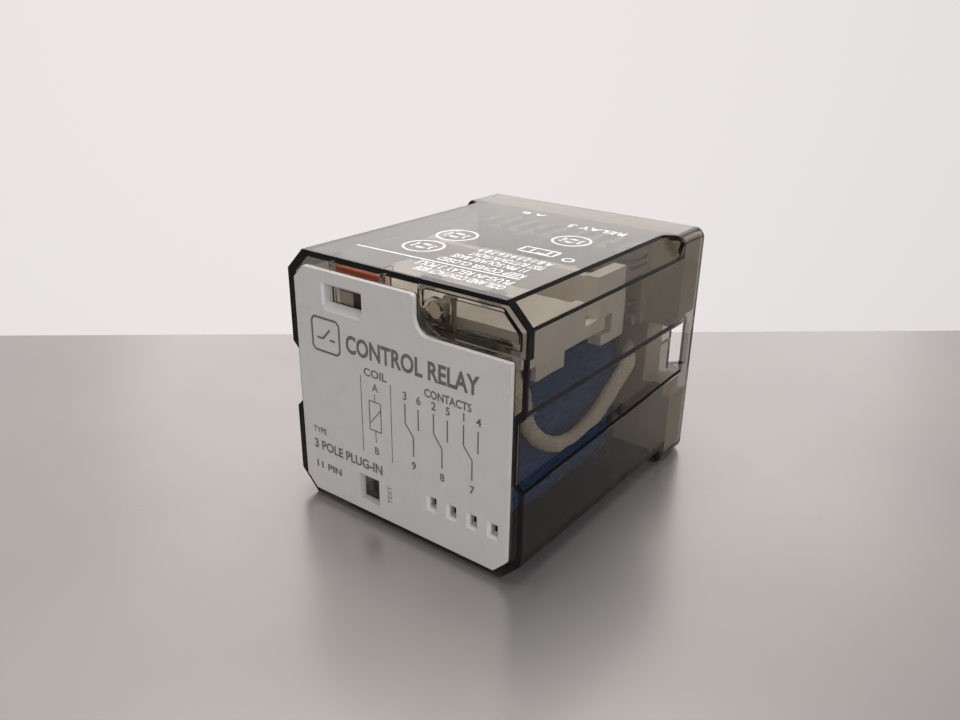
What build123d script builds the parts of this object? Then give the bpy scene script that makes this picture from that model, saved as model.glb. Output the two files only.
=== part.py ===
from build123d import *
import os

# Square-base plug-in control relay: three changeover poles, a 24 V coil and eleven flat blades,
# under a smoked clear cover. Millimetres.
# Frame: the relay lies on one long side of its cover, as it sits on a vertical panel. The label
# faces -Y, the blades point to +Y, +Z is up. The origin is the centre of the overall footprint.
# "Depth" is the distance behind the cover's front face. Everything is drawn with the coil off:
# the armature's leg stands away from the core, and the carrier and its blades are level.

# --- driving dimensions: cover -------------------------------------------------------------
WIDTH = 38.2
HEIGHT = 35.8
DEPTH = 44.6
WALL = 1.0
CORNER = 3.0
CORNER_CUT_END = 35.9
RIM_RADIUS = 1.5
RIM_CAVITY_START = 39.2

CHANNEL_DEEP = 1.0
CHANNEL_TOP = 22.6
CHANNEL_BOTTOM_FRONT = 12.8
CHANNEL_BOTTOM_REAR = 14.4
WINDOW_START = 39.0
WINDOW_END = 42.9
WINDOW_BOTTOM = 15.5
WINDOW_TOP = 21.6
FLAG_RAILS = (-11.8, -3.1)
RAIL_THICK = 0.6
RAIL_REAR = 2.5
RAIL_LOW = 25.0

# --- driving dimensions: label and the openings in it ----------------------------------------
LABEL_PROUD = 0.6
LABEL_THICK = 1.2
LABEL_HALF = 17.3
LABEL_BOTTOM = 1.2
LABEL_TOP = 33.85
LABEL_CORNER = 1.8
NOTCH_X = 3.2
NOTCH_Z = 28.9
NOTCH_RADIUS = 2.3
SEAT_GAP = 0.05

FLAG_WINDOW_X = -8.75
FLAG_WINDOW_Z = 30.45
FLAG_WINDOW_SIZE = (7.1, 3.7)
FLAG_BEVEL = 0.3
FLAG_SLOPE = 0.9
SQUARE_WINDOW_X = -5.15
SQUARE_WINDOW_Z = 4.7
SQUARE_WINDOW_SIZE = (3.7, 4.0)
SLOT_FIRST_X = 5.8
SLOT_PITCH = 3.18
SLOT_COUNT = 4
SLOT_Z = 6.75
SLOT_SIZE = (1.65, 2.2)
SLOT_BEVEL = 0.35

POCKET_LEFT = 4.05
POCKET_RIGHT = 18.0
POCKET_BOTTOM = 30.3
POCKET_TOP = 34.7
POCKET_DEEP = 0.7
POCKET_RADIUS = 2.6
POCKET_WALL = 1.1
LENS_LEFT = 8.0
LENS_RIGHT = 17.5
LENS_LOW = 30.9
LENS_TOP = 34.1
LENS_CUT = 2.1
LENS_PROUD = 0.3
COLLAR_THICK = 0.6
COLLAR_TALL = 0.6

# --- driving dimensions: blades and terminals ------------------------------------------------
BLADE_LENGTH = 6.5
BLADE_WIDTH = 4.75
STRIP_THICK = 0.6
STRIP_WIDTH = 3.6
BLADE_TIP = 1.0
DETENT_RADIUS = 0.7
DETENT_FROM_TIP = 2.6
POLE_PITCH = 10.6
NC_Z = 23.7
NO_Z = 28.9
COM_Z = 16.2
COIL_Z = 6.6
STRIP_START = 34.0
COM_START = 35.4
COIL_START = 36.9
NOTCH_INNER_X = 13.5
BASE_NOTCH_LOW = 12.3
BASE_NOTCH_TOP = 21.8
RELIEF_INNER_X = 16.9
RELIEF_LOW = 10.8
RELIEF_TOP = 23.4
POST_INNER_X = 4.8
POST_SIZE = (3.2, 2.6)
POST_LOWS = (2.6, 19.2)
BLOCK_FRONT = 37.2
BLOCK_HALF = 13.0
BLOCK_LOW = 21.9
BLOCK_TOP = 32.4
BARRIER_HALF = 0.6
BARRIER_FRONT = 32.5
SHELF_FRONT = 36.0
GROOVES_Z = (30.3, 31.4)
GROOVE_WIDE = 0.5
RIB_FIRST_X = -12.4
RIB_PITCH = 3.1
RIB_COUNT = 9
RIB_WIDE = 0.9
RIB_FRONT = 34.4
RIB_TOP = 33.2

# --- driving dimensions: magnet ----------------------------------------------------------------
COIL_AXIS_Z = 11.7
FLANGE_HALF_X = 12.4
FLANGE_HALF_Z = 10.3
FLANGE_THICK = 1.2
BOBBIN_FRONT = 5.8
BOBBIN_REAR = 33.0
TUBE_RADIUS = 5.0
CORE_RADIUS = 4.0
CORE_BORE = 1.5
CORE_BORE_START = 26.0
COIL_HALF_X = 11.9
COIL_HALF_Z = 9.8
COIL_CORNER = 3.2
TAPE_THICK = 0.2
POLE_FACE = 5.1
YOKE_THICK = 1.8
YOKE_HALF = 9.0
YOKE_FRONT = 5.3
YOKE_TOP = 24.0
YOKE_BOTTOM = 2.2
YOKE_CHAMFER = 2.0
YOKE_REAR = BOBBIN_REAR + 0.1 + YOKE_THICK

# --- driving dimensions: moving parts ------------------------------------------------------------
HINGE_DEPTH = 6.2
HINGE_Z = 23.1
PIN_RADIUS = 0.5
PIN_PLAY = 0.06
TILT = 3.0
ARMATURE_FRONT = 3.4
ARMATURE_REAR = 5.0
ARMATURE_HALF = 8.8
ARMATURE_LOW = 7.2
EAR_THICK = 1.0
EAR_REAR = 7.3
EAR_LOW = 22.2
EAR_TOP = 24.3
TAB_HALF = 7.0
TAB_REAR = 17.0
TAB_LOW = 25.2
TAB_TOP = 26.6
CARRIER_HALF = 14.5
CARRIER_FRONT = 5.9
CARRIER_REAR = 17.6
CARRIER_TOP = 30.0
CARRIER_LOW = 25.4
CARRIER_WALL = 1.3
DECK_THICK = 1.2
SIDE_REAR = 18.8
SKIRT_FRONT = 8.7
SKIRT_REAR = 15.0
SKIRT_LOW = 22.8
SKIRT_INSET = 0.6
ARM_REAR = 24.0
ARM_TOP = 27.2
CROSS_FRONT = 22.0
CROSS_THICK = 1.6
CROSS_TOP = 32.3
HOOK_WALL = 1.9
HOOK_FRONT = 25.8
HOOK_REAR = 29.2
HOOK_LOW = 23.2
HOOK_TOP = 32.5
HOOK_TIP_FRONT = 23.1
HOOK_TIP_TOP = 24.5
RIVET_HEAD = 1.5
RIVET_HEAD_THICK = 0.5
SPRING_X = 6.4
SPRING_DEPTH = 22.8
SPRING_RADIUS = 1.3
SPRING_WIRE = 0.16
SPRING_TURNS = 5
SPRING_STRIP_THICK = 0.4
BLADE_TOP = 27.4
BLADE_END_TOP = 25.72
BLADE_FRONT = 7.6
STEP_START = 24.6
STEP_END = 28.0
BLADE_REAR = 36.7
CONTACT_DEPTH = 35.0
CONTACT_RADIUS = 1.3
SHANK_RADIUS = 0.7
HEAD = 0.7
FIXED_HEAD = 0.6
RIVET_X = 5.3
RIVET_DEPTH = 12.5
RIVET_BORE = 0.9
BRAID_RADIUS = 1.1
LEAD_RADIUS = 0.5
FLAG_THICK = 0.6
FLAG_FRONT = 1.4
FLAG_LEFT = -11.0
FLAG_RIGHT = -3.3
FLAG_TOP = 34.3
FLAG_CARD_LOW = 28.6
STEM_RIGHT = -9.3
STEM_LOW = 12.0
FOOT_RIGHT = -7.0
FOOT_TALL = 1.6
BUTTON_X = 5.7
BUTTON_Z = 32.2
BUTTON_RADIUS = 1.05
BUTTON_PLAY = 0.08
BUTTON_FRONT = 0.5
BUTTON_REAR = 3.5
WEB_HALF = 0.8
WEB_THICK = 0.6
WEB_UPPER = 3.4
WEB_LOWER = 1.5
WEB_STEP_Z = 28.4
WEB_END_Z = 8.0

# --- worked out ---------------------------------------------------------------------------------
HALF = WIDTH / 2
TIP_DEPTH = DEPTH + BLADE_LENGTH
FRONT_Y = (LABEL_PROUD - TIP_DEPTH) / 2
INNER_HALF = HALF - WALL
INNER_LOW = WALL
INNER_HIGH = HEIGHT - WALL
INNER_CORNER = CORNER - WALL * (2 - 2**0.5)
BASE_FRONT = RIM_CAVITY_START + 0.2
POLES = (POLE_PITCH, 0.0, -POLE_PITCH)
NC_FACE = NC_Z + STRIP_THICK / 2
NO_FACE = NO_Z - STRIP_THICK / 2
BRAID_START_Z = BLADE_TOP - SPRING_STRIP_THICK - BRAID_RADIUS
BRAID_WELD_Z = COM_Z + STRIP_THICK / 2 + BRAID_RADIUS
FAR = 60.0


# --- shapes shared by the pieces -----------------------------------------------------------------
def block(x0, x1, depth0, depth1, z0, z1):
    """Box between two x, two depths and two heights."""
    middle = Pos((x0 + x1) / 2, FRONT_Y + (depth0 + depth1) / 2, (z0 + z1) / 2)
    return middle * Box(x1 - x0, depth1 - depth0, z1 - z0)


def along(sheet, depth0, depth1):
    """Solid with a cross-section drawn in X and Z, between two depths."""
    plane = Plane(origin=(0, FRONT_Y + depth1, 0), x_dir=(1, 0, 0), z_dir=(0, -1, 0))
    return extrude(plane * sheet, amount=depth1 - depth0, dir=(0, -1, 0))


def rod_along(radius, x, z, depth0, depth1):
    """Round bar along Y."""
    return along(Pos(x, z) * Circle(radius), depth0, depth1)


def rod_up(radius, x, depth, z0, z1):
    """Round bar along Z."""
    middle = Pos(x, FRONT_Y + depth, (z0 + z1) / 2)
    return middle * Cylinder(radius, z1 - z0)


def rod_across(radius, depth, z, x0, x1):
    """Round bar along X."""
    middle = Pos((x0 + x1) / 2, FRONT_Y + depth, z)
    return middle * Rot(0, 90, 0) * Cylinder(radius, x1 - x0)


def plate_profile(points, x0, x1):
    """Solid with a side view drawn as depth and height, between two x."""
    plane = Plane(origin=(x0, FRONT_Y, 0), x_dir=(0, 1, 0), z_dir=(1, 0, 0))
    return extrude(plane * Polygon(*points, align=None), amount=x1 - x0, dir=(1, 0, 0))


def both_sides(shape):
    """The shape and its mirror image across the middle plane X = 0."""
    return shape + mirror(shape, about=Plane.YZ)


def beveled_hole(x, z, size, bevel):
    """Hole through the label whose mouth is bevelled at 45 degrees all round."""
    mouth = Plane(origin=(x, FRONT_Y - LABEL_PROUD, z), x_dir=(1, 0, 0), z_dir=(0, 1, 0))
    funnel = extrude(mouth * Rectangle(*size), amount=bevel, dir=(0, 1, 0), taper=45)
    half_w = size[0] / 2 - bevel
    half_h = size[1] / 2 - bevel
    return funnel + block(x - half_w, x + half_w, -LABEL_PROUD, 2 * WALL, z - half_h, z + half_h)


def flag_hole():
    """Upper window: narrow bevels at the top and the sides, and a broad slope along the bottom."""
    width, height = FLAG_WINDOW_SIZE
    lift = FLAG_SLOPE - FLAG_BEVEL
    low = FLAG_WINDOW_Z - height / 2
    hole = beveled_hole(FLAG_WINDOW_X, FLAG_WINDOW_Z + lift / 2, (width, height - lift), FLAG_BEVEL)
    slope = [
        (-LABEL_PROUD, low), (-LABEL_PROUD, low + 2 * FLAG_SLOPE),
        (FLAG_SLOPE - LABEL_PROUD, low + 2 * FLAG_SLOPE), (FLAG_SLOPE - LABEL_PROUD, low + FLAG_SLOPE),
    ]
    half = width / 2 - FLAG_BEVEL
    return hole + plate_profile(slope, FLAG_WINDOW_X - half, FLAG_WINDOW_X + half)


def cord(points, radius, bend):
    """Round wire through points given as x, depth, z, with every corner rounded."""
    route = FilletPolyline(*[(x, FRONT_Y + depth, z) for x, depth, z in points], radius=bend)
    start = Plane(origin=route @ 0, z_dir=route % 0)
    return sweep(start * Circle(radius), path=route)


def at_rest(shape):
    """Swing a piece drawn in the closed position about the hinge pin to the released one."""
    hinge = Axis((0, FRONT_Y + HINGE_DEPTH, HINGE_Z), (1, 0, 0))
    return shape.rotate(hinge, -TILT)


def corner_of(sheet, x, z):
    """The corner of a flat outline that is nearest to a point."""
    return sheet.vertices().sort_by_distance((x, z, 0))[0]


# --- cover ----------------------------------------------------------------------------------------
def octagon(half, low, high, corner):
    """Cross-section with its four corners cut at 45 degrees."""
    sheet = Rectangle(2 * half, high - low)
    return Pos(0, (low + high) / 2) * chamfer(sheet.vertices(), corner)


def rounded_box(half, low, high, radius):
    """Cross-section with small round corners."""
    return Pos(0, (low + high) / 2) * RectangleRounded(2 * half, high - low, radius)


def corner_cuts():
    """The four long 45 degree flats, each ending in a round pocket short of the rear rim."""
    slab_height = 4.0
    flat_width = CORNER * 2**0.5
    length = CORNER_CUT_END + 2.0
    slab = Pos(0, -length / 2, slab_height / 2) * Box(2 * flat_width, length, slab_height)
    pocket_end = Pos(0, 0, slab_height / 2) * Cylinder(flat_width / 2, slab_height)
    place = Pos(HALF - CORNER / 2, FRONT_Y + CORNER_CUT_END, HEIGHT - CORNER / 2) * Rot(0, 45, 0)
    upper = both_sides(place * (slab + pocket_end))
    return upper + mirror(upper, about=Plane(origin=(0, 0, HEIGHT / 2)))


def clip_channel(face_x, grow):
    """Tapered channel along both sides for the socket's clip, sunk from a face at face_x."""
    rear = WINDOW_END - CHANNEL_DEEP + grow
    outline = Polygon(
        (2.0, CHANNEL_BOTTOM_FRONT - grow),
        (-rear, CHANNEL_BOTTOM_REAR - grow),
        (-rear, CHANNEL_TOP + grow),
        (2.0, CHANNEL_TOP + grow),
        align=None,
    )
    face = Plane(origin=(face_x, FRONT_Y, 0), x_dir=(0, -1, 0), z_dir=(-1, 0, 0))
    return both_sides(extrude(face * outline, amount=CHANNEL_DEEP, dir=(-1, 0, 0), taper=45))


def label_outline(gap):
    """Outline of the label, with the step cut out of its upper right corner."""
    half = LABEL_HALF + gap
    low = LABEL_BOTTOM - gap
    high = LABEL_TOP + gap
    step_x = NOTCH_X + gap
    step_z = NOTCH_Z + gap
    sheet = Polygon(
        (-half, low), (half, low), (half, step_z), (step_x, step_z), (step_x, high), (-half, high),
        align=None,
    )
    sheet = chamfer([corner_of(sheet, -half, low)], LABEL_CORNER)
    sheet = chamfer([corner_of(sheet, half, low)], LABEL_CORNER)
    sheet = chamfer([corner_of(sheet, -half, high)], LABEL_CORNER)
    sheet = fillet([corner_of(sheet, step_x, step_z)], NOTCH_RADIUS - gap)
    return fillet([corner_of(sheet, step_x, high)], 0.5)


def pocket_outline(grow):
    """Outline of the recess in the cover's front beside the label's step."""
    left = POCKET_LEFT - grow
    right = POCKET_RIGHT + grow
    low = POCKET_BOTTOM - grow
    high = POCKET_TOP + grow
    sheet = Polygon((left, low), (right, low), (right, high), (left, high), align=None)
    sheet = chamfer([corner_of(sheet, right, high)], INNER_CORNER)
    sheet = fillet([corner_of(sheet, left, low)], POCKET_RADIUS + grow)
    return fillet([corner_of(sheet, left, high)], 0.5)


def make_cover():
    outer = along(rounded_box(HALF, 0, HEIGHT, RIM_RADIUS), 0, DEPTH) - corner_cuts()
    narrow = along(octagon(INNER_HALF, INNER_LOW, INNER_HIGH, INNER_CORNER), WALL, RIM_CAVITY_START)
    wide = along(rounded_box(INNER_HALF, INNER_LOW, INNER_HIGH, 0.4), RIM_CAVITY_START, FAR)
    cavity = narrow + wide - clip_channel(INNER_HALF, 0.5)
    shell = outer - cavity - clip_channel(HALF, 0)
    shell -= both_sides(
        block(INNER_HALF - 2, HALF + 1, WINDOW_START, WINDOW_END, WINDOW_BOTTOM, WINDOW_TOP)
    )
    shell -= both_sides(
        block(HALF - CHANNEL_DEEP, HALF + 1, WINDOW_START, WINDOW_END, WINDOW_BOTTOM, WINDOW_TOP + 0.6)
    )

    pocket_back = POCKET_DEEP + WALL
    pocket_walls = along(pocket_outline(POCKET_WALL), WALL / 2, pocket_back)
    shell += pocket_walls & along(octagon(HALF, 0, HEIGHT, CORNER), WALL / 2, pocket_back)
    shell -= along(pocket_outline(0), -1, POCKET_DEEP)
    lens = Polygon(
        (LENS_LEFT, LENS_LOW), (LENS_RIGHT, LENS_LOW), (LENS_RIGHT, LENS_TOP), (LENS_LEFT, LENS_TOP),
        align=None,
    )
    lens = chamfer([corner_of(lens, LENS_RIGHT, LENS_TOP)], LENS_CUT)
    shell += along(lens, POCKET_DEEP - LENS_PROUD, POCKET_DEEP)
    collar_front = POCKET_DEEP - COLLAR_TALL
    shell += rod_along(BUTTON_RADIUS + COLLAR_THICK, BUTTON_X, BUTTON_Z, collar_front, POCKET_DEEP)
    shell -= rod_along(BUTTON_RADIUS + BUTTON_PLAY, BUTTON_X, BUTTON_Z, -1, pocket_back + 1)

    shell -= along(label_outline(SEAT_GAP), -1, LABEL_THICK - LABEL_PROUD)
    shell -= beveled_hole(FLAG_WINDOW_X, FLAG_WINDOW_Z, FLAG_WINDOW_SIZE, FLAG_SLOPE)
    for number in range(SLOT_COUNT):
        shell -= beveled_hole(SLOT_FIRST_X + number * SLOT_PITCH, SLOT_Z, SLOT_SIZE, SLOT_BEVEL)
    for rail_x in FLAG_RAILS:
        shell += block(rail_x, rail_x + RAIL_THICK, WALL, RAIL_REAR, RAIL_LOW, INNER_HIGH)
    return shell


# --- label ----------------------------------------------------------------------------------------
def make_label():
    plate = along(label_outline(0), -LABEL_PROUD, LABEL_THICK - LABEL_PROUD)
    plate -= flag_hole()
    half_w = SQUARE_WINDOW_SIZE[0] / 2
    half_h = SQUARE_WINDOW_SIZE[1] / 2
    plate -= block(
        SQUARE_WINDOW_X - half_w, SQUARE_WINDOW_X + half_w, -1, 1,
        SQUARE_WINDOW_Z - half_h, SQUARE_WINDOW_Z + half_h,
    )
    for number in range(SLOT_COUNT):
        plate -= beveled_hole(SLOT_FIRST_X + number * SLOT_PITCH, SLOT_Z, SLOT_SIZE, SLOT_BEVEL)
    return plate


# --- base, terminals and fixed contacts --------------------------------------------------------------
def terminal(x, z, inner_depth):
    """Flat terminal: a narrow strip inside the cover and a 4.75 mm plug-in blade outside."""
    low = z - STRIP_THICK / 2
    high = z + STRIP_THICK / 2
    strip = block(x - STRIP_WIDTH / 2, x + STRIP_WIDTH / 2, inner_depth, BASE_FRONT + 1, low, high)
    half = BLADE_WIDTH / 2
    blade = Polygon(
        (x - half, FRONT_Y + BASE_FRONT + 1),
        (x + half, FRONT_Y + BASE_FRONT + 1),
        (x + half, FRONT_Y + TIP_DEPTH - BLADE_TIP),
        (x + half - BLADE_TIP, FRONT_Y + TIP_DEPTH),
        (x - half + BLADE_TIP, FRONT_Y + TIP_DEPTH),
        (x - half, FRONT_Y + TIP_DEPTH - BLADE_TIP),
        align=None,
    )
    solid = strip + extrude(Plane(origin=(0, 0, low)) * blade, amount=STRIP_THICK, dir=(0, 0, 1))
    return solid - rod_up(DETENT_RADIUS, x, TIP_DEPTH - DETENT_FROM_TIP, low - 1, high + 1)


def make_terminals():
    """Terminals by name: 1-3 normally closed, 4-6 normally open, 7-9 common, a and b the coil."""
    made = {}
    for number, x in enumerate(POLES):
        made[f"terminal_{number + 1}"] = terminal(x, NC_Z, STRIP_START)
        made[f"terminal_{number + 4}"] = terminal(x, NO_Z, STRIP_START)
        made[f"terminal_{number + 7}"] = terminal(x, COM_Z, COM_START)
    made["terminal_a"] = terminal(-POLE_PITCH, COIL_Z, COIL_START)
    made["terminal_b"] = terminal(POLE_PITCH, COIL_Z, COIL_START)
    return made


def domed_contact(x, depth, z_strip, height):
    """Contact rivet head on one face of a strip; a negative height points it down."""
    z_end = z_strip + height
    head = rod_up(CONTACT_RADIUS, x, depth, min(z_strip, z_end), max(z_strip, z_end))
    rim = head.edges().filter_by(GeomType.CIRCLE).sort_by(Axis.Z)
    return fillet(rim[-1] if height > 0 else rim[0], 0.25)


def make_base(terminals):
    """Moulded base that closes the cover, with a notch on each side and four posts to the yoke."""
    outline = rounded_box(INNER_HALF - 0.1, INNER_LOW + 0.1, INNER_HIGH - 0.1, 0.5)
    plate = along(outline, BASE_FRONT, DEPTH)
    rear = DEPTH + 1
    notch = block(NOTCH_INNER_X, FAR, BASE_FRONT - 1, rear, BASE_NOTCH_LOW, BASE_NOTCH_TOP)
    relief = block(RELIEF_INNER_X, FAR, BASE_FRONT - 1, rear, RELIEF_LOW, RELIEF_TOP)
    plate -= both_sides(notch + relief)
    wide, tall = POST_SIZE
    for low in POST_LOWS:
        post = block(POST_INNER_X, POST_INNER_X + wide, YOKE_REAR, BASE_FRONT, low, low + tall)
        plate += both_sides(post)
    for solid in terminals.values():
        plate -= solid
    return plate


def make_contact_block(terminals):
    """Insulating block between the poles, which carries the fixed contact strips."""
    rear = BASE_FRONT - SEAT_GAP
    roof_low = NO_Z + STRIP_THICK / 2
    shelf_top = NC_Z - STRIP_THICK / 2
    shelf_half = STRIP_WIDTH / 2
    body = block(-BLOCK_HALF, BLOCK_HALF, BLOCK_FRONT, rear, BLOCK_LOW, BLOCK_TOP)
    body += block(-BLOCK_HALF, BLOCK_HALF, STRIP_START, BLOCK_FRONT, roof_low, BLOCK_TOP)
    for x in (-POLE_PITCH / 2, POLE_PITCH / 2):
        left = x - BARRIER_HALF
        right = x + BARRIER_HALF
        body += block(left, right, BARRIER_FRONT, BLOCK_FRONT, YOKE_TOP + 0.3, BLOCK_TOP)
    for x in POLES:
        left = x - shelf_half
        right = x + shelf_half
        body += block(left, right, SHELF_FRONT, BLOCK_FRONT, BLOCK_LOW, shelf_top)
    for z in GROOVES_Z:
        inner_x = BLOCK_HALF - GROOVE_WIDE
        body -= both_sides(block(inner_x, FAR, STRIP_START - 1, rear - 0.8, z, z + GROOVE_WIDE))
    for number in range(RIB_COUNT):
        left = RIB_FIRST_X + number * RIB_PITCH - RIB_WIDE / 2
        body += block(left, left + RIB_WIDE, RIB_FRONT, rear, BLOCK_TOP - 0.4, RIB_TOP)
    for solid in terminals.values():
        body -= solid
    return body


# --- magnet ------------------------------------------------------------------------------------------
def coil_section(half_x, half_z, corner):
    """Rounded rectangle round the coil's axis."""
    return Pos(0, COIL_AXIS_Z) * RectangleRounded(2 * half_x, 2 * half_z, corner)


def make_bobbin():
    spool = rod_along(TUBE_RADIUS, 0, COIL_AXIS_Z, BOBBIN_FRONT, BOBBIN_REAR)
    for start in (BOBBIN_FRONT, BOBBIN_REAR - FLANGE_THICK):
        sheet = coil_section(FLANGE_HALF_X, FLANGE_HALF_Z, 2.0)
        spool += along(sheet, start, start + FLANGE_THICK)
    return spool - rod_along(CORE_RADIUS + 0.02, 0, COIL_AXIS_Z, 0, FAR)


def coil_layer(inner, thick):
    """Layer between the bobbin's flanges, from an inner outline to the coil's outline plus thick."""
    front = BOBBIN_FRONT + FLANGE_THICK
    rear = BOBBIN_REAR - FLANGE_THICK
    outer = coil_section(COIL_HALF_X + thick, COIL_HALF_Z + thick, COIL_CORNER + thick)
    return along(outer, front, rear) - along(inner, front - 1, rear + 1)


def make_winding():
    return coil_layer(Pos(0, COIL_AXIS_Z) * Circle(TUBE_RADIUS), 0)


def make_tape():
    return coil_layer(coil_section(COIL_HALF_X, COIL_HALF_Z, COIL_CORNER), TAPE_THICK)


def make_core():
    core = rod_along(CORE_RADIUS, 0, COIL_AXIS_Z, POLE_FACE, BOBBIN_REAR + 0.1)
    core += rod_along(CORE_RADIUS + 1, 0, COIL_AXIS_Z, POLE_FACE, BOBBIN_FRONT - 0.02)
    return core - rod_along(CORE_BORE, 0, COIL_AXIS_Z, CORE_BORE_START, FAR)


def make_core_screw():
    screw = rod_along(CORE_BORE - 0.02, 0, COIL_AXIS_Z, CORE_BORE_START + 0.5, YOKE_REAR)
    screw += along(Pos(0, COIL_AXIS_Z) * RegularPolygon(3.2, 6), YOKE_REAR, YOKE_REAR + 1.8)
    return screw


def make_yoke():
    """L-shaped iron frame: a plate behind the coil and a leg above it, drilled for the hinge pin."""
    leg_low = YOKE_TOP - YOKE_THICK
    leg = block(-YOKE_HALF, YOKE_HALF, YOKE_FRONT, YOKE_REAR, leg_low, YOKE_TOP)
    leg += block(-YOKE_HALF, YOKE_HALF, YOKE_REAR - YOKE_THICK, YOKE_REAR, YOKE_BOTTOM, YOKE_TOP)
    bend = leg.edges().filter_by(Axis.X).sort_by_distance((0, FRONT_Y + YOKE_REAR, YOKE_TOP))[0]
    leg = chamfer(bend, YOKE_CHAMFER)
    leg -= rod_across(PIN_RADIUS, HINGE_DEPTH, HINGE_Z, -FAR, FAR)
    return leg - rod_along(CORE_BORE, 0, COIL_AXIS_Z, CORE_BORE_START, FAR)


def make_hinge_pin():
    return rod_across(PIN_RADIUS, HINGE_DEPTH, HINGE_Z, -YOKE_HALF - 1.2, YOKE_HALF + 1.2)


def coil_lead(side):
    """Sleeved wire from the bobbin's rear flange to a coil terminal."""
    x = side * POLE_PITCH
    rest_z = COIL_Z + STRIP_THICK / 2 + LEAD_RADIUS
    points = [
        (x, BOBBIN_REAR + 0.05, 4.6), (x, 34.3, 4.6), (x, 35.8, rest_z), (x, 38.6, rest_z),
    ]
    return cord(points, LEAD_RADIUS, 0.8)


# --- armature and what it carries, with the coil off --------------------------------------------------
def make_armature():
    """Iron angle: a leg in front of the core, hinged on the yoke's edge, and a level tab above it."""
    front = ARMATURE_FRONT
    ear_inner = YOKE_HALF + 0.1
    ear_outer = ear_inner + EAR_THICK
    leg = block(-ARMATURE_HALF, ARMATURE_HALF, front, ARMATURE_REAR, ARMATURE_LOW, TAB_LOW)
    leg += block(-ear_outer, ear_outer, front, ARMATURE_REAR, EAR_LOW, EAR_TOP)
    leg += both_sides(block(ear_inner, ear_outer, front, EAR_REAR, EAR_LOW, EAR_TOP))
    leg -= rod_across(PIN_RADIUS + PIN_PLAY, HINGE_DEPTH, HINGE_Z, -FAR, FAR)
    tab = block(-TAB_HALF, TAB_HALF, front, TAB_REAR, TAB_LOW, TAB_TOP)
    for x in (-RIVET_X, RIVET_X):
        tab -= rod_up(RIVET_BORE, x, RIVET_DEPTH, 0, FAR)
    return at_rest(leg) + tab


def moving_blade(x):
    """Spring strip with a shallow step down to its contact end."""
    thick = SPRING_STRIP_THICK
    side_view = [
        (BLADE_FRONT, BLADE_TOP), (STEP_START, BLADE_TOP), (STEP_END, BLADE_END_TOP),
        (BLADE_REAR, BLADE_END_TOP), (BLADE_REAR, BLADE_END_TOP - thick),
        (STEP_END - 0.1, BLADE_END_TOP - thick), (STEP_START - 0.1, BLADE_TOP - thick),
        (BLADE_FRONT, BLADE_TOP - thick),
    ]
    return plate_profile(side_view, x - STRIP_WIDTH / 2, x + STRIP_WIDTH / 2)


def contact_shank(x):
    """The part of a moving contact that passes through its blade."""
    low = BLADE_END_TOP - SPRING_STRIP_THICK - 0.05
    return rod_up(SHANK_RADIUS, x, CONTACT_DEPTH, low, BLADE_END_TOP + 0.05)


def moving_contact(x):
    """Contact rivet with a head on each face of the moving blade."""
    upper = domed_contact(x, CONTACT_DEPTH, BLADE_END_TOP, HEAD)
    lower = domed_contact(x, CONTACT_DEPTH, BLADE_END_TOP - SPRING_STRIP_THICK, -HEAD)
    return upper + lower + contact_shank(x)


def make_carrier(blades):
    """Moulded carrier riveted to the armature: it holds the blades, and a hook guides each side."""
    half = CARRIER_HALF
    wall = half - CARRIER_WALL
    hook = half - HOOK_WALL
    deck_low = CARRIER_TOP - DECK_THICK
    body = block(-half, half, CARRIER_FRONT, CARRIER_REAR, deck_low, CARRIER_TOP)
    body += block(-wall - 0.1, wall + 0.1, 9.0, CARRIER_REAR, TAB_TOP + 0.05, deck_low)
    body += block(-half, half, CROSS_FRONT, CROSS_FRONT + CROSS_THICK, BLADE_TOP + 0.2, CROSS_TOP)
    side = block(wall, half, CARRIER_FRONT, SIDE_REAR, CARRIER_LOW, CARRIER_TOP)
    side += block(wall, half - SKIRT_INSET, SKIRT_FRONT, SKIRT_REAR, SKIRT_LOW, CARRIER_LOW)
    side += block(wall, half, SIDE_REAR, ARM_REAR, CARRIER_LOW, ARM_TOP)
    side += block(hook, half, CROSS_FRONT, HOOK_REAR, ARM_TOP, HOOK_TOP)
    side += block(hook, half, HOOK_FRONT, HOOK_REAR, HOOK_LOW, ARM_TOP)
    side += block(hook, half, HOOK_TIP_FRONT, HOOK_FRONT, HOOK_LOW, HOOK_TIP_TOP)
    body += both_sides(side)
    for x in (-RIVET_X, RIVET_X):
        body -= rod_up(RIVET_BORE, x, RIVET_DEPTH, 0, FAR)
    for solid in blades:
        body -= solid
    return body


def carrier_rivet(x):
    """Rivet through the armature's tab and the carrier."""
    shank = rod_up(RIVET_BORE - 0.02, x, RIVET_DEPTH, TAB_LOW, CARRIER_TOP)
    return shank + rod_up(RIVET_HEAD, x, RIVET_DEPTH, CARRIER_TOP, CARRIER_TOP + RIVET_HEAD_THICK)


def return_spring(x):
    """Tension spring from the yoke's leg up to the carrier's cross bar."""
    low = YOKE_TOP + SPRING_WIRE + 0.03
    height = BLADE_TOP - low
    coil = Helix(pitch=height / SPRING_TURNS, height=height, radius=SPRING_RADIUS)
    turn = Plane(origin=coil @ 0, z_dir=coil % 0)
    return Pos(x, FRONT_Y + SPRING_DEPTH, low) * sweep(turn * Circle(SPRING_WIRE), path=coil)


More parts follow.
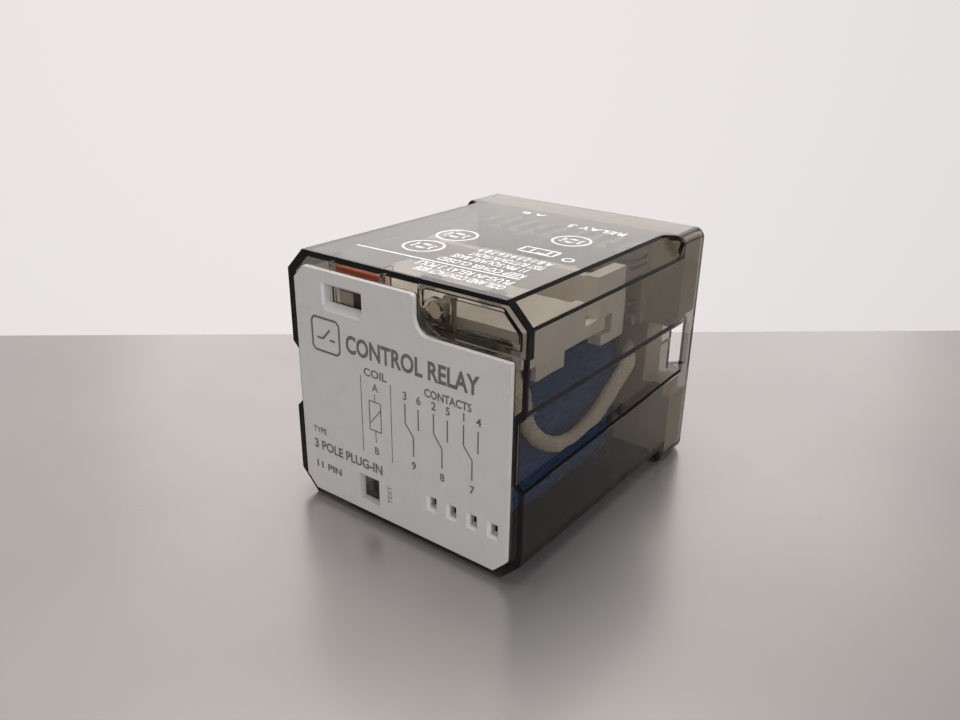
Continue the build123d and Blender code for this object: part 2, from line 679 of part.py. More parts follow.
def braid_side(side):
    """Sleeved braid of an outer pole, from the blade's front end to its common terminal."""
    points = [
        (side * 10.4, 8.0, BRAID_START_Z), (side * 12.2, 7.1, 24.8), (side * 13.6, 6.6, 21.5),
        (side * 13.8, 6.9, 17.4), (side * 13.8, 11.6, 12.9), (side * 13.8, 18.0, 10.6),
        (side * 13.8, 24.2, 12.0), (side * 13.8, 30.4, 15.6), (side * 13.7, 34.0, BRAID_WELD_Z),
        (side * 11.4, 36.6, BRAID_WELD_Z), (side * 10.8, 38.6, BRAID_WELD_Z),
    ]
    return cord(points, BRAID_RADIUS, 1.2)


def braid_middle():
    """Sleeved braid of the middle pole, led back above the yoke and down behind it."""
    lane_z = YOKE_TOP + BRAID_RADIUS + 0.2
    drop = YOKE_REAR + BRAID_RADIUS + 0.08
    points = [
        (0.0, 18.6, BRAID_START_Z), (1.4, 21.2, BRAID_START_Z - 0.4), (3.3, 24.4, lane_z),
        (3.4, 33.2, lane_z), (3.4, drop, 23.0), (3.4, drop, 19.2),
        (2.6, 36.6, BRAID_WELD_Z), (0.9, 38.6, BRAID_WELD_Z),
    ]
    return cord(points, BRAID_RADIUS, 0.9)


# --- flag and test button, drawn at rest ----------------------------------------------------------------
def make_flag():
    """Sliding card behind the label's upper window: coloured above, plain below, on a long stem."""
    rear = FLAG_FRONT + FLAG_THICK
    card = block(FLAG_LEFT, FLAG_RIGHT, FLAG_FRONT, rear, FLAG_CARD_LOW, FLAG_TOP)
    stem = block(FLAG_LEFT + 0.1, STEM_RIGHT, FLAG_FRONT, rear, STEM_LOW, FLAG_CARD_LOW)
    foot = block(FLAG_LEFT + 0.1, FOOT_RIGHT, FLAG_FRONT, rear, STEM_LOW - FOOT_TALL, STEM_LOW)
    return card + stem + foot


def make_button():
    """Round push pin with a web that reaches down in front of the armature."""
    pin = rod_along(BUTTON_RADIUS, BUTTON_X, BUTTON_Z, BUTTON_FRONT, BUTTON_REAR)
    thick = WEB_THICK
    side_view = [
        (WEB_UPPER, 33.2), (WEB_UPPER + thick, 33.2), (WEB_UPPER + thick, WEB_STEP_Z - 0.8),
        (WEB_LOWER + thick, WEB_STEP_Z - 0.8), (WEB_LOWER + thick, WEB_END_Z), (WEB_LOWER, WEB_END_Z),
        (WEB_LOWER, WEB_STEP_Z), (WEB_UPPER, WEB_STEP_Z),
    ]
    return pin + plate_profile(side_view, BUTTON_X - WEB_HALF, BUTTON_X + WEB_HALF)


# --- build and write -----------------------------------------------------------------------------------
def build():
    """Every node of the relay by name."""
    nodes = {"cover": make_cover(), "label_plate": make_label()}
    terminals = make_terminals()
    nodes.update(terminals)
    nodes["base_plate"] = make_base(terminals)
    nodes["contact_block"] = make_contact_block(terminals)
    nodes["bobbin"] = make_bobbin()
    nodes["coil_winding"] = make_winding()
    nodes["coil_tape"] = make_tape()
    nodes["core"] = make_core()
    nodes["core_screw"] = make_core_screw()
    nodes["yoke"] = make_yoke()
    nodes["hinge_pin"] = make_hinge_pin()
    nodes["coil_lead_a"] = coil_lead(-1)
    nodes["coil_lead_b"] = coil_lead(1)
    nodes["armature_plate"] = make_armature()
    blades = [moving_blade(x) for x in POLES]
    nodes["carrier"] = make_carrier(blades)
    for number, x in enumerate(POLES, start=1):
        nodes[f"moving_blade_{number}"] = blades[number - 1] - contact_shank(x)
        nodes[f"moving_contact_{number}"] = moving_contact(x)
        nodes[f"nc_contact_{number}"] = domed_contact(x, CONTACT_DEPTH, NC_FACE, FIXED_HEAD)
        nodes[f"no_contact_{number}"] = domed_contact(x, CONTACT_DEPTH, NO_FACE, -FIXED_HEAD)
    for number, x in enumerate((RIVET_X, -RIVET_X), start=1):
        nodes[f"carrier_rivet_{number}"] = carrier_rivet(x)
    for number, x in enumerate((SPRING_X, -SPRING_X), start=1):
        nodes[f"return_spring_{number}"] = return_spring(x)
    nodes["braid_1"] = braid_side(1)
    nodes["braid_2"] = braid_middle()
    nodes["braid_3"] = braid_side(-1)
    nodes["indicator_flag"] = make_flag()
    nodes["test_button"] = make_button()
    return nodes


os.makedirs("parts", exist_ok=True)
for name, shape in build().items():
    export_step(shape, f"parts/{name}.step")
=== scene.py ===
"""Looks for a square-base plug-in relay under a smoked clear cover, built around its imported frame."""
import math

import bmesh
import bpy
from mathutils import Matrix, Vector


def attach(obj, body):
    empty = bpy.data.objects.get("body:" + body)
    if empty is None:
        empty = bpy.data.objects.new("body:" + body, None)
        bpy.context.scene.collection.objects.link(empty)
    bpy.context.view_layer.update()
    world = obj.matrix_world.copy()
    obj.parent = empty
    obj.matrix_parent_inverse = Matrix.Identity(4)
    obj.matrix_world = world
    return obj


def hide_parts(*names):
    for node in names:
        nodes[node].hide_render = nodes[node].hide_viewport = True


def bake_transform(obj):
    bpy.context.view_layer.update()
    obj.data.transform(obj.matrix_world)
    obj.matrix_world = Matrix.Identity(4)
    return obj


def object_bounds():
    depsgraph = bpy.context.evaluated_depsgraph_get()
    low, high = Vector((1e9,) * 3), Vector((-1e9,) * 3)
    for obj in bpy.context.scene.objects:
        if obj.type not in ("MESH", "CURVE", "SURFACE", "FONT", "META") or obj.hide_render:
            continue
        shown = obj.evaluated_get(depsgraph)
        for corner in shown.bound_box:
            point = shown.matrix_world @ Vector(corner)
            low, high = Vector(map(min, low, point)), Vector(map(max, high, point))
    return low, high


MM = 0.001
LABEL_PROUD = 0.6
COVER_WIDTH = 38.2
COVER_HEIGHT = 35.8

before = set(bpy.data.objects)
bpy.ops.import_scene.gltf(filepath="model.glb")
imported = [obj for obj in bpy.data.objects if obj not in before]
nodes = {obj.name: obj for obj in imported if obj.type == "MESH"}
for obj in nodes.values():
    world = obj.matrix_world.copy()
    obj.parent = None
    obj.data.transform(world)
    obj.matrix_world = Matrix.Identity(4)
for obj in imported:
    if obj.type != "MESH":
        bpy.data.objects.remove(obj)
cad_low, cad_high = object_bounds()
scene = bpy.context.scene


# --- node materials ------------------------------------------------------------------------------
class Look:
    """A node material that is built one node at a time."""

    def __init__(self, name):
        self.material = bpy.data.materials.new(name)
        self.material.use_nodes = True
        self.tree = self.material.node_tree
        self.tree.nodes.clear()
        self.output = self.add("ShaderNodeOutputMaterial")
        self.coordinates = self.add("ShaderNodeTexCoord")

    def add(self, kind, **inputs):
        """A new node. Inputs are numbers or colours for its sockets, or sockets to link to them."""
        made = self.tree.nodes.new(kind)
        for name, value in inputs.items():
            self.feed(made.inputs[name.replace("_", " ")], value)
        return made

    def feed(self, socket, value):
        """Links a socket to this one, or sets its number or colour."""
        if isinstance(value, bpy.types.NodeSocket):
            self.tree.links.new(value, socket)
        else:
            socket.default_value = value

    def principled(self, **inputs):
        shader = self.add("ShaderNodeBsdfPrincipled", **inputs)
        self.tree.links.new(shader.outputs[0], self.output.inputs["Surface"])

    def place(self, stretch=(1, 1, 1)):
        """Object coordinates in millimetres, which are the row frame's."""
        mapping = self.add("ShaderNodeMapping", Vector=self.coordinates.outputs["Object"])
        mapping.inputs["Scale"].default_value = [1000 * part for part in stretch]
        return mapping.outputs[0]

    def noise(self, scale, detail=4.0, rough=0.5, stretch=(1, 1, 1)):
        """Cloudy noise with this many features to the millimetre."""
        return self.add(
            "ShaderNodeTexNoise", Vector=self.place(stretch), Scale=scale, Detail=detail, Roughness=rough
        ).outputs["Fac"]

    def spread(self, value, low, high, start=0.3, end=0.7):
        """A value between start and end, stretched to run from low to high."""
        made = self.add("ShaderNodeMapRange", Value=value)
        made.inputs["From Min"].default_value = start
        made.inputs["From Max"].default_value = end
        made.inputs["To Min"].default_value = low
        made.inputs["To Max"].default_value = high
        return made.outputs[0]

    def mix(self, share, first, second):
        """First colour where share is 0, second where it is 1."""
        made = self.tree.nodes.new("ShaderNodeMix")
        made.data_type = "RGBA"
        for number, value in ((0, share), (6, first), (7, second)):
            self.feed(made.inputs[number], value)
        return made.outputs[2]

    def total(self, first, second):
        """Sum of two values."""
        made = self.tree.nodes.new("ShaderNodeMath")
        made.operation = "ADD"
        self.feed(made.inputs[0], first)
        self.feed(made.inputs[1], second)
        return made.outputs[0]

    def bump(self, height, distance, strength=1.0):
        """Normal of a surface that this height raises by up to distance, in metres."""
        made = self.add("ShaderNodeBump", Height=height, Distance=distance, Strength=strength)
        return made.outputs[0]


def rgb(red, green, blue):
    """Linear colour from 0-255 display values."""
    def linear(value):
        value /= 255
        return value / 12.92 if value <= 0.04045 else ((value + 0.055) / 1.055) ** 2.4

    return (linear(red), linear(green), linear(blue), 1.0)


def moulded_plastic(name, light, dark, roughness, grain=0.004):
    """Moulded plastic with faint cloudy colour, fine grain and a few flow marks."""
    look = Look(name)
    cloud = look.noise(0.35, 5.0, 0.6)
    fine = look.noise(9.0, 3.0, 0.7)
    flow = look.noise(0.9, 6.0, 0.55, stretch=(1.0, 0.15, 1.0))
    tone = look.mix(look.spread(cloud, 0.0, 1.0), light, dark)
    tone = look.mix(look.spread(flow, 0.0, 0.35, 0.5, 0.8), tone, dark)
    rough = look.total(look.spread(flow, -0.07, 0.09), roughness)
    look.principled(
        Base_Color=tone,
        Roughness=rough,
        Specular_IOR_Level=0.5,
        Normal=look.bump(fine, grain * MM),
    )
    return look.material


ROLLED = (1.0, 0.06, 1.0)
EVEN = (1.0, 1.0, 1.0)


def sheet_metal(name, light, dark, roughness, grain_way=ROLLED):
    """Rolled metal with a directional grain and dull patches."""
    look = Look(name)
    roll = look.noise(14.0, 4.0, 0.6, stretch=grain_way)
    patch = look.noise(0.6, 4.0, 0.55)
    tone = look.mix(look.spread(patch, 0.0, 1.0), light, dark)
    rough = look.total(look.spread(roll, -0.06, 0.1), roughness)
    rough = look.total(rough, look.spread(patch, -0.04, 0.08))
    look.principled(Base_Color=tone, Metallic=1.0, Roughness=rough, Normal=look.bump(roll, 0.003 * MM))
    return look.material


CLEAR_TINT = (0.93, 0.92, 0.90, 1.0)
SMOKE_TINT = (0.42, 0.395, 0.355, 1.0)
SMOKE_PER_METRE = 1050.0


def smoked_glass(name):
    """Smoked clear moulding: it lets lamps through, and long paths inside it go dark."""
    look = Look(name)
    clear = look.add(
        "ShaderNodeBsdfPrincipled",
        Base_Color=CLEAR_TINT,
        Roughness=0.025,
        IOR=1.5,
        Transmission_Weight=1.0,
    )
    wave = look.noise(0.28, 2.0, 0.4)
    look.feed(clear.inputs["Normal"], look.bump(wave, 0.03 * MM, 0.5))
    through = look.add("ShaderNodeBsdfTransparent", Color=CLEAR_TINT)
    path = look.add("ShaderNodeLightPath")
    both = look.add("ShaderNodeMixShader", Fac=path.outputs["Is Shadow Ray"])
    look.tree.links.new(clear.outputs[0], both.inputs[1])
    look.tree.links.new(through.outputs[0], both.inputs[2])
    look.tree.links.new(both.outputs[0], look.output.inputs["Surface"])
    smoke = look.add("ShaderNodeVolumeAbsorption", Color=SMOKE_TINT, Density=SMOKE_PER_METRE)
    look.tree.links.new(smoke.outputs[0], look.output.inputs["Volume"])
    return look.material


def woven_sleeve(name, light, dark):
    """Woven textile sleeve over a braid."""
    look = Look(name)
    weave = look.add("ShaderNodeTexVoronoi", Vector=look.place(), Scale=9.0).outputs["Distance"]
    cloud = look.noise(0.8, 4.0)
    tone = look.mix(look.spread(weave, 0.0, 1.0, 0.1, 0.7), light, dark)
    tone = look.mix(look.spread(cloud, 0.0, 0.4), tone, dark)
    look.principled(
        Base_Color=tone, Roughness=0.85, Specular_IOR_Level=0.25, Normal=look.bump(weave, -0.03 * MM)
    )
    return look.material


def adhesive_tape(name, light, dark):
    """Glossy film tape with fine creases across it."""
    look = Look(name)
    crease = look.noise(1.6, 5.0, 0.6, stretch=(1.0, 0.25, 1.0))
    cloud = look.noise(0.3, 4.0)
    tone = look.mix(look.spread(cloud, 0.0, 1.0), light, dark)
    look.principled(
        Base_Color=tone,
        Roughness=look.spread(crease, 0.2, 0.42),
        Specular_IOR_Level=0.5,
        Normal=look.bump(crease, 0.015 * MM, 0.6),
    )
    return look.material


CARD_EDGE_Z = 31.6
CARD_SPLIT_X = -8.6


def flag_card(name, light, dark, plain_light, plain_dark):
    """Moulded card that is coloured above CARD_EDGE_Z, and plain below with a dark half."""
    look = Look(name)
    place = look.add("ShaderNodeSeparateXYZ", Vector=look.place())
    share = look.spread(place.outputs["Z"], 0.0, 1.0, CARD_EDGE_Z - 0.05, CARD_EDGE_Z + 0.05)
    shade = look.spread(place.outputs["X"], 0.0, 1.0, CARD_SPLIT_X - 0.1, CARD_SPLIT_X + 0.1)
    cloud = look.spread(look.noise(0.5, 5.0, 0.6), 0.0, 1.0)
    fine = look.noise(9.0, 3.0, 0.7)
    coloured = look.mix(cloud, light, dark)
    plain = look.mix(shade, plain_light, plain_dark)
    look.principled(
        Base_Color=look.mix(share, plain, coloured),
        Roughness=look.spread(fine, 0.38, 0.5),
        Normal=look.bump(fine, 0.003 * MM),
    )
    return look.material


SMOKED = smoked_glass("smoked_cover")
LABEL = moulded_plastic("label_grey", rgb(196, 193, 191), rgb(189, 186, 184), roughness=0.5, grain=0.006)
PRINT = moulded_plastic("print_grey", rgb(104, 100, 98), rgb(94, 90, 88), roughness=0.5)
WHITE_PRINT = moulded_plastic("print_white", rgb(232, 232, 234), rgb(222, 222, 226), roughness=0.5)
BEIGE = moulded_plastic("base_beige", rgb(196, 188, 172), rgb(182, 174, 158), roughness=0.45)
BLOCK = moulded_plastic("block_grey", rgb(172, 168, 160), rgb(156, 152, 146), roughness=0.45)
CREAM = moulded_plastic("carrier_cream", rgb(242, 238, 232), rgb(232, 227, 219), roughness=0.4)
DARK = moulded_plastic("bobbin_dark", rgb(62, 58, 54), rgb(50, 47, 44), roughness=0.4)
TIN = sheet_metal("tinned_brass", (0.78, 0.76, 0.70, 1), (0.66, 0.63, 0.56, 1), 0.26)
SILVER = sheet_metal("contact_silver", (0.93, 0.92, 0.88, 1), (0.82, 0.80, 0.74, 1), 0.2, EVEN)
BRONZE = sheet_metal("bronze_spring", (0.80, 0.58, 0.38, 1), (0.70, 0.48, 0.30, 1), 0.26)
IRON = sheet_metal("plated_iron", (0.70, 0.70, 0.69, 1), (0.58, 0.58, 0.57, 1), 0.3)
STEEL = sheet_metal("spring_steel", (0.66, 0.66, 0.66, 1), (0.52, 0.52, 0.52, 1), 0.25, EVEN)
COPPER = sheet_metal("coil_copper", (0.78, 0.40, 0.22, 1), (0.64, 0.30, 0.16, 1), 0.3, EVEN)
TAPE = adhesive_tape("coil_tape_blue", rgb(28, 76, 136), rgb(21, 60, 114))
SLEEVE = woven_sleeve("braid_sleeve", rgb(238, 232, 220), rgb(216, 208, 194))
RED = moulded_plastic("lead_red", rgb(170, 40, 34), rgb(146, 30, 28), roughness=0.5)
BLACK = moulded_plastic("lead_black", rgb(34, 34, 36), rgb(26, 26, 28), roughness=0.5)
BUTTON = moulded_plastic("button_cream", rgb(150, 136, 116), rgb(132, 118, 100), roughness=0.35)
FLAG = flag_card("flag_orange", rgb(226, 104, 66), rgb(212, 88, 52), rgb(150, 138, 124), rgb(52, 46, 42))

FINISH = {
    "cover": SMOKED, "label_plate": LABEL, "base_plate": BEIGE, "contact_block": BLOCK,
    "bobbin": DARK, "coil_winding": COPPER, "coil_tape": TAPE, "core": IRON, "core_screw": IRON,
    "yoke": IRON, "hinge_pin": STEEL, "coil_lead_a": RED, "coil_lead_b": BLACK,
    "armature_plate": IRON, "carrier": CREAM, "indicator_flag": FLAG, "test_button": BUTTON,
}
FAMILIES = {
    "terminal_": TIN, "nc_contact_": SILVER, "no_contact_": SILVER, "moving_contact_": SILVER,
    "moving_blade_": BRONZE, "carrier_rivet_": IRON, "return_spring_": STEEL, "braid_": SLEEVE,
}


def finish_of(node):
    if node in FINISH:
        return FINISH[node]
    return next(look for family, look in FAMILIES.items() if node.startswith(family))


for name, piece in nodes.items():
    piece.data.materials.clear()
    piece.data.materials.append(finish_of(name))


# --- soft edges on the moulded and stamped pieces -------------------------------------------------
SOFT_EDGES = {
    "label_plate": 0.12, "carrier": 0.14, "contact_block": 0.1, "base_plate": 0.15, "bobbin": 0.12,
    "armature_plate": 0.1, "yoke": 0.15, "cover": 0.18,
}
for name, width in SOFT_EDGES.items():
    soft = nodes[name].modifiers.new("soft_edges", "BEVEL")
    soft.width = width * MM
    soft.segments = 2
    soft.limit_method = "ANGLE"
    soft.angle_limit = math.radians(40)


# --- helpers for added pieces ------------------------------------------------------------------------
FRONT_Y = cad_low[1] / MM + LABEL_PROUD


def at(x, depth, z):
    """Row-frame metres from x, depth behind the cover's front face and z, all in millimetres."""
    return Vector((x, FRONT_Y + depth, z)) * MM


def link_mesh(name, bm, look):
    """A piece made of this mesh, in this material."""
    bmesh.ops.recalc_face_normals(bm, faces=bm.faces)
    mesh = bpy.data.meshes.new(name)
    bm.to_mesh(mesh)
    bm.free()
    mesh.materials.append(look)
    piece = bpy.data.objects.new(name, mesh)
    scene.collection.objects.link(piece)
    return piece


# --- printing ------------------------------------------------------------------------------------------
class Print:
    """Thin raised printing on a flat face, drawn in millimetres along and up that face."""

    THICK = 0.015
    CAPITAL_SHARE = 0.7
    RING_SIDES = 40

    def __init__(self, origin, across, up):
        self.bm = bmesh.new()
        normal = across.cross(up)
        turn = Matrix((across, up, normal)).transposed().to_4x4()
        self.place = Matrix.Translation(origin * MM) @ turn @ Matrix.Scale(MM, 4)

    def solid(self, outline):
        """A flat shape with this outline."""
        top = [self.bm.verts.new(self.place @ Vector((a, b, self.THICK))) for a, b in outline]
        bottom = [self.bm.verts.new(self.place @ Vector((a, b, 0.0))) for a, b in outline]
        self.bm.faces.new(top)
        for number in range(len(outline)):
            after = (number + 1) % len(outline)
            self.bm.faces.new((top[number], bottom[number], bottom[after], top[after]))

    def bar(self, start, end, width=0.2):
        """A straight stroke."""
        a = Vector(start)
        b = Vector(end)
        side = (b - a).normalized().orthogonal() * width / 2
        self.solid([a - side, b - side, b + side, a + side])

    def line(self, points, width=0.2):
        """Straight strokes from point to point."""
        for start, end in zip(points, points[1:]):
            self.bar(start, end, width)

    def ring(self, centre, radius, width, squash=1.0):
        """A closed ring, round or oval."""
        across, up = centre
        around = [2 * math.pi * n / self.RING_SIDES for n in range(self.RING_SIDES + 1)]
        path = [(across + radius * math.cos(t), up + radius * squash * math.sin(t)) for t in around]
        self.line(path, width)

    def text(self, words, left, base, height, width=None, bold=0.0, turn=0.0):
        """Lettering with its lower left corner at left and base, and this height of capitals."""
        curve = bpy.data.curves.new(words, "FONT")
        curve.body = words
        curve.size = height / self.CAPITAL_SHARE
        curve.offset = bold
        curve.resolution_u = 3
        letters = bpy.data.objects.new(words, curve)
        scene.collection.objects.link(letters)
        bpy.context.view_layer.update()
        flat = bpy.data.meshes.new_from_object(letters)
        bpy.data.objects.remove(letters)
        stretch = 1.0 if width is None else width / max(v.co.x for v in flat.vertices)
        spin = Matrix.Translation((left, base, self.THICK)) @ Matrix.Rotation(turn, 4, "Z")
        flat.transform(self.place @ spin @ Matrix.Diagonal((stretch, 1, 1, 1)))
        self.bm.from_mesh(flat)
        bpy.data.meshes.remove(flat)

    def finish(self, name, look):
        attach(link_mesh(name, self.bm, look), "relay_frame")


LABEL_PRINT_X = -18.63
LABEL_PRINT_Z = 0.33
SMALL = 1.05
POLE_FIRST_X = 20.25
POLE_PITCH = 4.6


def print_label():
    """Generic title, terminal numbers and the three-pole changeover diagram."""
    origin = Vector((LABEL_PRINT_X, FRONT_Y - LABEL_PROUD, LABEL_PRINT_Z))
    ink = Print(origin, Vector((1, 0, 0)), Vector((0, 0, 1)))
    badge = [
        (4.7, 22.5), (8.7, 22.5), (9.2, 23.0), (9.2, 26.6),
        (8.7, 27.1), (4.7, 27.1), (4.2, 26.6), (4.2, 23.0),
    ]
    ink.line(badge + badge[:1], 0.32)
    ink.line([(5.1, 24.3), (6.2, 24.3), (7.5, 25.7)], 0.3)
    ink.bar((7.4, 24.3), (8.4, 24.3), 0.3)
    ink.text("CONTROL RELAY", 10.3, 23.5, 2.35, width=21.4, bold=0.1)
    ink.text("COIL", 13.3, 21.15, SMALL, width=4.0, bold=0.04)
    ink.text("CONTACTS", 23.4, 21.15, SMALL, width=7.2, bold=0.04)

    for x in (12.75, 17.9):
        ink.bar((x, 10.0), (x, 21.0), 0.12)
    ink.text("A", 14.75, 19.3, SMALL, bold=0.03)
    ink.text("B", 14.75, 10.3, SMALL, bold=0.03)
    box = [(14.1, 13.7), (16.1, 13.7), (16.1, 17.8), (14.1, 17.8), (14.1, 13.7)]
    ink.line(box, 0.16)
    ink.bar((14.1, 14.5), (16.1, 16.9), 0.14)
    ink.bar((15.1, 17.8), (15.1, 18.9), 0.14)
    ink.bar((15.1, 12.0), (15.1, 13.7), 0.14)

    for pole, (closed, opened, common) in enumerate(("369", "258", "147")):
        x = POLE_FIRST_X + pole * POLE_PITCH
        ink.text(closed, x - 0.35, 19.7, SMALL, bold=0.035)
        ink.text(opened, x + 1.85, 19.7, SMALL, bold=0.035)
        ink.text(common, x + 0.95, 10.4, SMALL, bold=0.035)
        ink.line([(x, 19.2), (x, 16.5), (x + 1.3, 14.9), (x + 1.3, 12.2)])
        ink.bar((x + 2.15, 19.0), (x + 2.15, 16.1))

    ink.text("TYPE", 3.15, 10.0, 0.85, width=2.6, bold=0.03)
    ink.text("3 POLE PLUG-IN", 3.15, 7.5, 1.35, width=12.9, bold=0.06)
    ink.text("11 PIN", 3.1, 4.5, 1.0, width=5.2, bold=0.05)
    ink.text("TEST", 17.6, 3.6, 0.7, width=2.7, turn=math.pi / 2)
    ink.finish("label_print", PRINT)


BOLD = 0.34


def print_top():
    """White rings, rules and small generic lettering on the cover's upper side, read from behind."""
    ink = Print(Vector((COVER_WIDTH / 2, FRONT_Y, COVER_HEIGHT)), Vector((-1, 0, 0)), Vector((0, -1, 0)))

    def spot(x, depth):
        """Place on the print from x off the cover's left side and depth behind its front."""
        return COVER_WIDTH - x, -depth

    ink.bar(spot(6.9, 5.9), spot(32.0, 6.9), 0.3)
    for x, depth, radius in ((13.9, 11.1, 2.7), (13.8, 18.2, 2.8), (27.4, 25.7, 2.6)):
        middle, level = spot(x, depth)
        ink.ring((middle, level), radius, BOLD)
        ink.ring((middle, level), radius * 0.5, 0.3, 0.75)
        reach = radius * 0.6
        for shift in (-0.7, 0.7):
            ink.bar((middle - reach, level + shift), (middle + reach, level + shift), 0.36)
    rows = (
        (3.5, 32.6, 13.0, "COIL AND CONTACT SIDE"), (5.5, 32.3, 14.2, "PLUG-IN RELAY 3 POLE"),
        (8.4, 32.0, 12.9, "KEEP COVER CLOSED"), (10.6, 31.0, 11.4, "11 PIN SQUARE BASE"),
        (12.6, 31.9, 11.0, "TEST BUTTON IN FRONT"), (14.6, 31.7, 10.9, "A B 1 2 3 4 5 6 7 8 9"),
    )
    for depth, x, width, words in rows:
        left, base = spot(x, depth)
        ink.text(words, left, base - 0.3, 1.45, width=width, bold=0.035)
    left, base = spot(29.6, 19.6)
    right = left + 5.2
    top = base + 2.2
    ink.line([(left, base), (right, base), (right, top), (left, top), (left, base)], BOLD)
    ink.line([(left + 1.1, base + 0.4), (left + 1.1, base + 1.8), (left + 2.6, base + 1.8)], BOLD)
    ink.bar((left + 3.6, base + 0.4), (left + 3.6, base + 1.8), BOLD)
    ink.ring(spot(32.0, 17.4), 0.7, 0.3)
    left, base = spot(31.6, 34.0)
    ink.text("RELAY 3", left, base, 1.6, width=9.2, bold=0.04)
    left, base = spot(16.6, 36.4)
    ink.text("A B", left, base, 1.2, width=4.2, bold=0.03)
    ink.finish("top_print", WHITE_PRINT)


print_label()
print_top()


# --- braided sleeves -----------------------------------------------------------------------------------
BRAID_RADIUS = 1.1
BRAID_STEP = 0.3
BRAID_LAY = 6.6
STRANDS = 10
CORE_INSET = 0.2
CORE_SIDES = 16
YARN_INSET = 0.13
YARN_WEAVE = 0.07
YARN_SECTION = ((-0.21, 0.0), (-0.1, 0.06), (0.1, 0.06), (0.21, 0.0), (0.0, -0.05))


def centreline(name, points):
    """Even points along a smooth curve whose control points are the route's corners."""
    curve = bpy.data.curves.new(name, "CURVE")
    curve.dimensions = "3D"
    spline = curve.splines.new("NURBS")
    spline.points.add(len(points) - 1)
    for knot, point in zip(spline.points, points):
        knot.co = (*at(*point), 1.0)
    spline.order_u = 3
    spline.use_endpoint_u = True
    spline.resolution_u = 40
    wire = bpy.data.objects.new(name, curve)
    scene.collection.objects.link(wire)
    bpy.context.view_layer.update()
    flat = bpy.data.meshes.new_from_object(wire)
    read = [v.co.copy() for v in flat.vertices]
    bpy.data.objects.remove(wire)
    bpy.data.meshes.remove(flat)

    even = [read[0]]
    left = BRAID_STEP * MM
    for start, end in zip(read, read[1:]):
        gap = (end - start).length
        while gap >= left > 0:
            start = start + (end - start) * (left / gap)
            even.append(start)
            gap -= left
            left = BRAID_STEP * MM
        left -= gap
    return even


def frames_along(line):
    """Tangent, side and up at each point, turned as little as possible."""
    frames = []
    side = Vector((1, 0, 0))
    for number, point in enumerate(line):
        ahead = line[min(number + 1, len(line) - 1)]
        behind = line[max(number - 1, 0)]
        tangent = (ahead - behind).normalized()
        side = (side - tangent * side.dot(tangent)).normalized()
        frames.append((point, side, tangent.cross(side)))
    return frames


def tube(bm, rings):
    """Skin over a row of rings with caps at both ends."""
    made = [[bm.verts.new(corner) for corner in ring] for ring in rings]
    for before, after in zip(made, made[1:]):
        for number in range(len(before)):
            other = (number + 1) % len(before)
            bm.faces.new((before[number], before[other], after[other], after[number]))
    bm.faces.new(made[0])
    bm.faces.new(reversed(made[-1]))


def braided_sleeve(name, node, points):
    """Woven sleeve of flat yarns that cross over and under, round a plain core."""
    bm = bmesh.new()
    frames = frames_along(centreline(name, points))
    inner = (BRAID_RADIUS - CORE_INSET) * MM
    around = [2 * math.pi * n / CORE_SIDES for n in range(CORE_SIDES)]
    tube(bm, [[c + (s * math.cos(t) + u * math.sin(t)) * inner for t in around] for c, s, u in frames])
    for hand in (-1, 1):
        for strand in range(STRANDS):
            first = 2 * math.pi * strand / STRANDS
            rings = []
            for number, (centre, side, up) in enumerate(frames):
                turn = first + hand * number * BRAID_STEP * 2 * math.pi / BRAID_LAY
                weave = math.cos(number * BRAID_STEP * 2 * math.pi * STRANDS / BRAID_LAY + strand * math.pi)
                reach = (BRAID_RADIUS - YARN_INSET + YARN_WEAVE * hand * weave) * MM
                out = side * math.cos(turn) + up * math.sin(turn)
                around_way = side * -math.sin(turn) + up * math.cos(turn)
                middle = centre + out * reach
                rings.append([middle + around_way * (a * MM) + out * (b * MM) for a, b in YARN_SECTION])
            tube(bm, rings)
    piece = link_mesh(name, bm, SLEEVE)
    for face in piece.data.polygons:
        face.use_smooth = True
    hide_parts(node)
    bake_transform(piece)


WELD_Z = 17.6
SLEEVE_TOP = 25.9
for number, side in ((1, 1), (3, -1)):
    route = [
        (side * 10.4, 8.0, SLEEVE_TOP), (side * 12.2, 7.1, 24.8), (side * 13.6, 6.6, 21.5),
        (side * 13.8, 6.9, 17.4), (side * 13.8, 11.6, 12.9), (side * 13.8, 18.0, 10.6),
        (side * 13.8, 24.2, 12.0), (side * 13.8, 30.4, 15.6), (side * 13.7, 34.0, WELD_Z),
        (side * 11.4, 36.6, WELD_Z), (side * 10.8, 38.6, WELD_Z),
    ]
    braided_sleeve(f"braid_{number}_sleeve", f"braid_{number}", route)
route = [
    (0.0, 18.6, SLEEVE_TOP), (1.4, 21.2, SLEEVE_TOP - 0.4), (3.3, 24.4, 25.3), (3.4, 33.2, 25.3),
    (3.4, 36.08, 23.0), (3.4, 36.08, 19.2), (2.6, 36.6, WELD_Z), (0.9, 38.6, WELD_Z),
]
braided_sleeve("braid_2_sleeve", "braid_2", route)


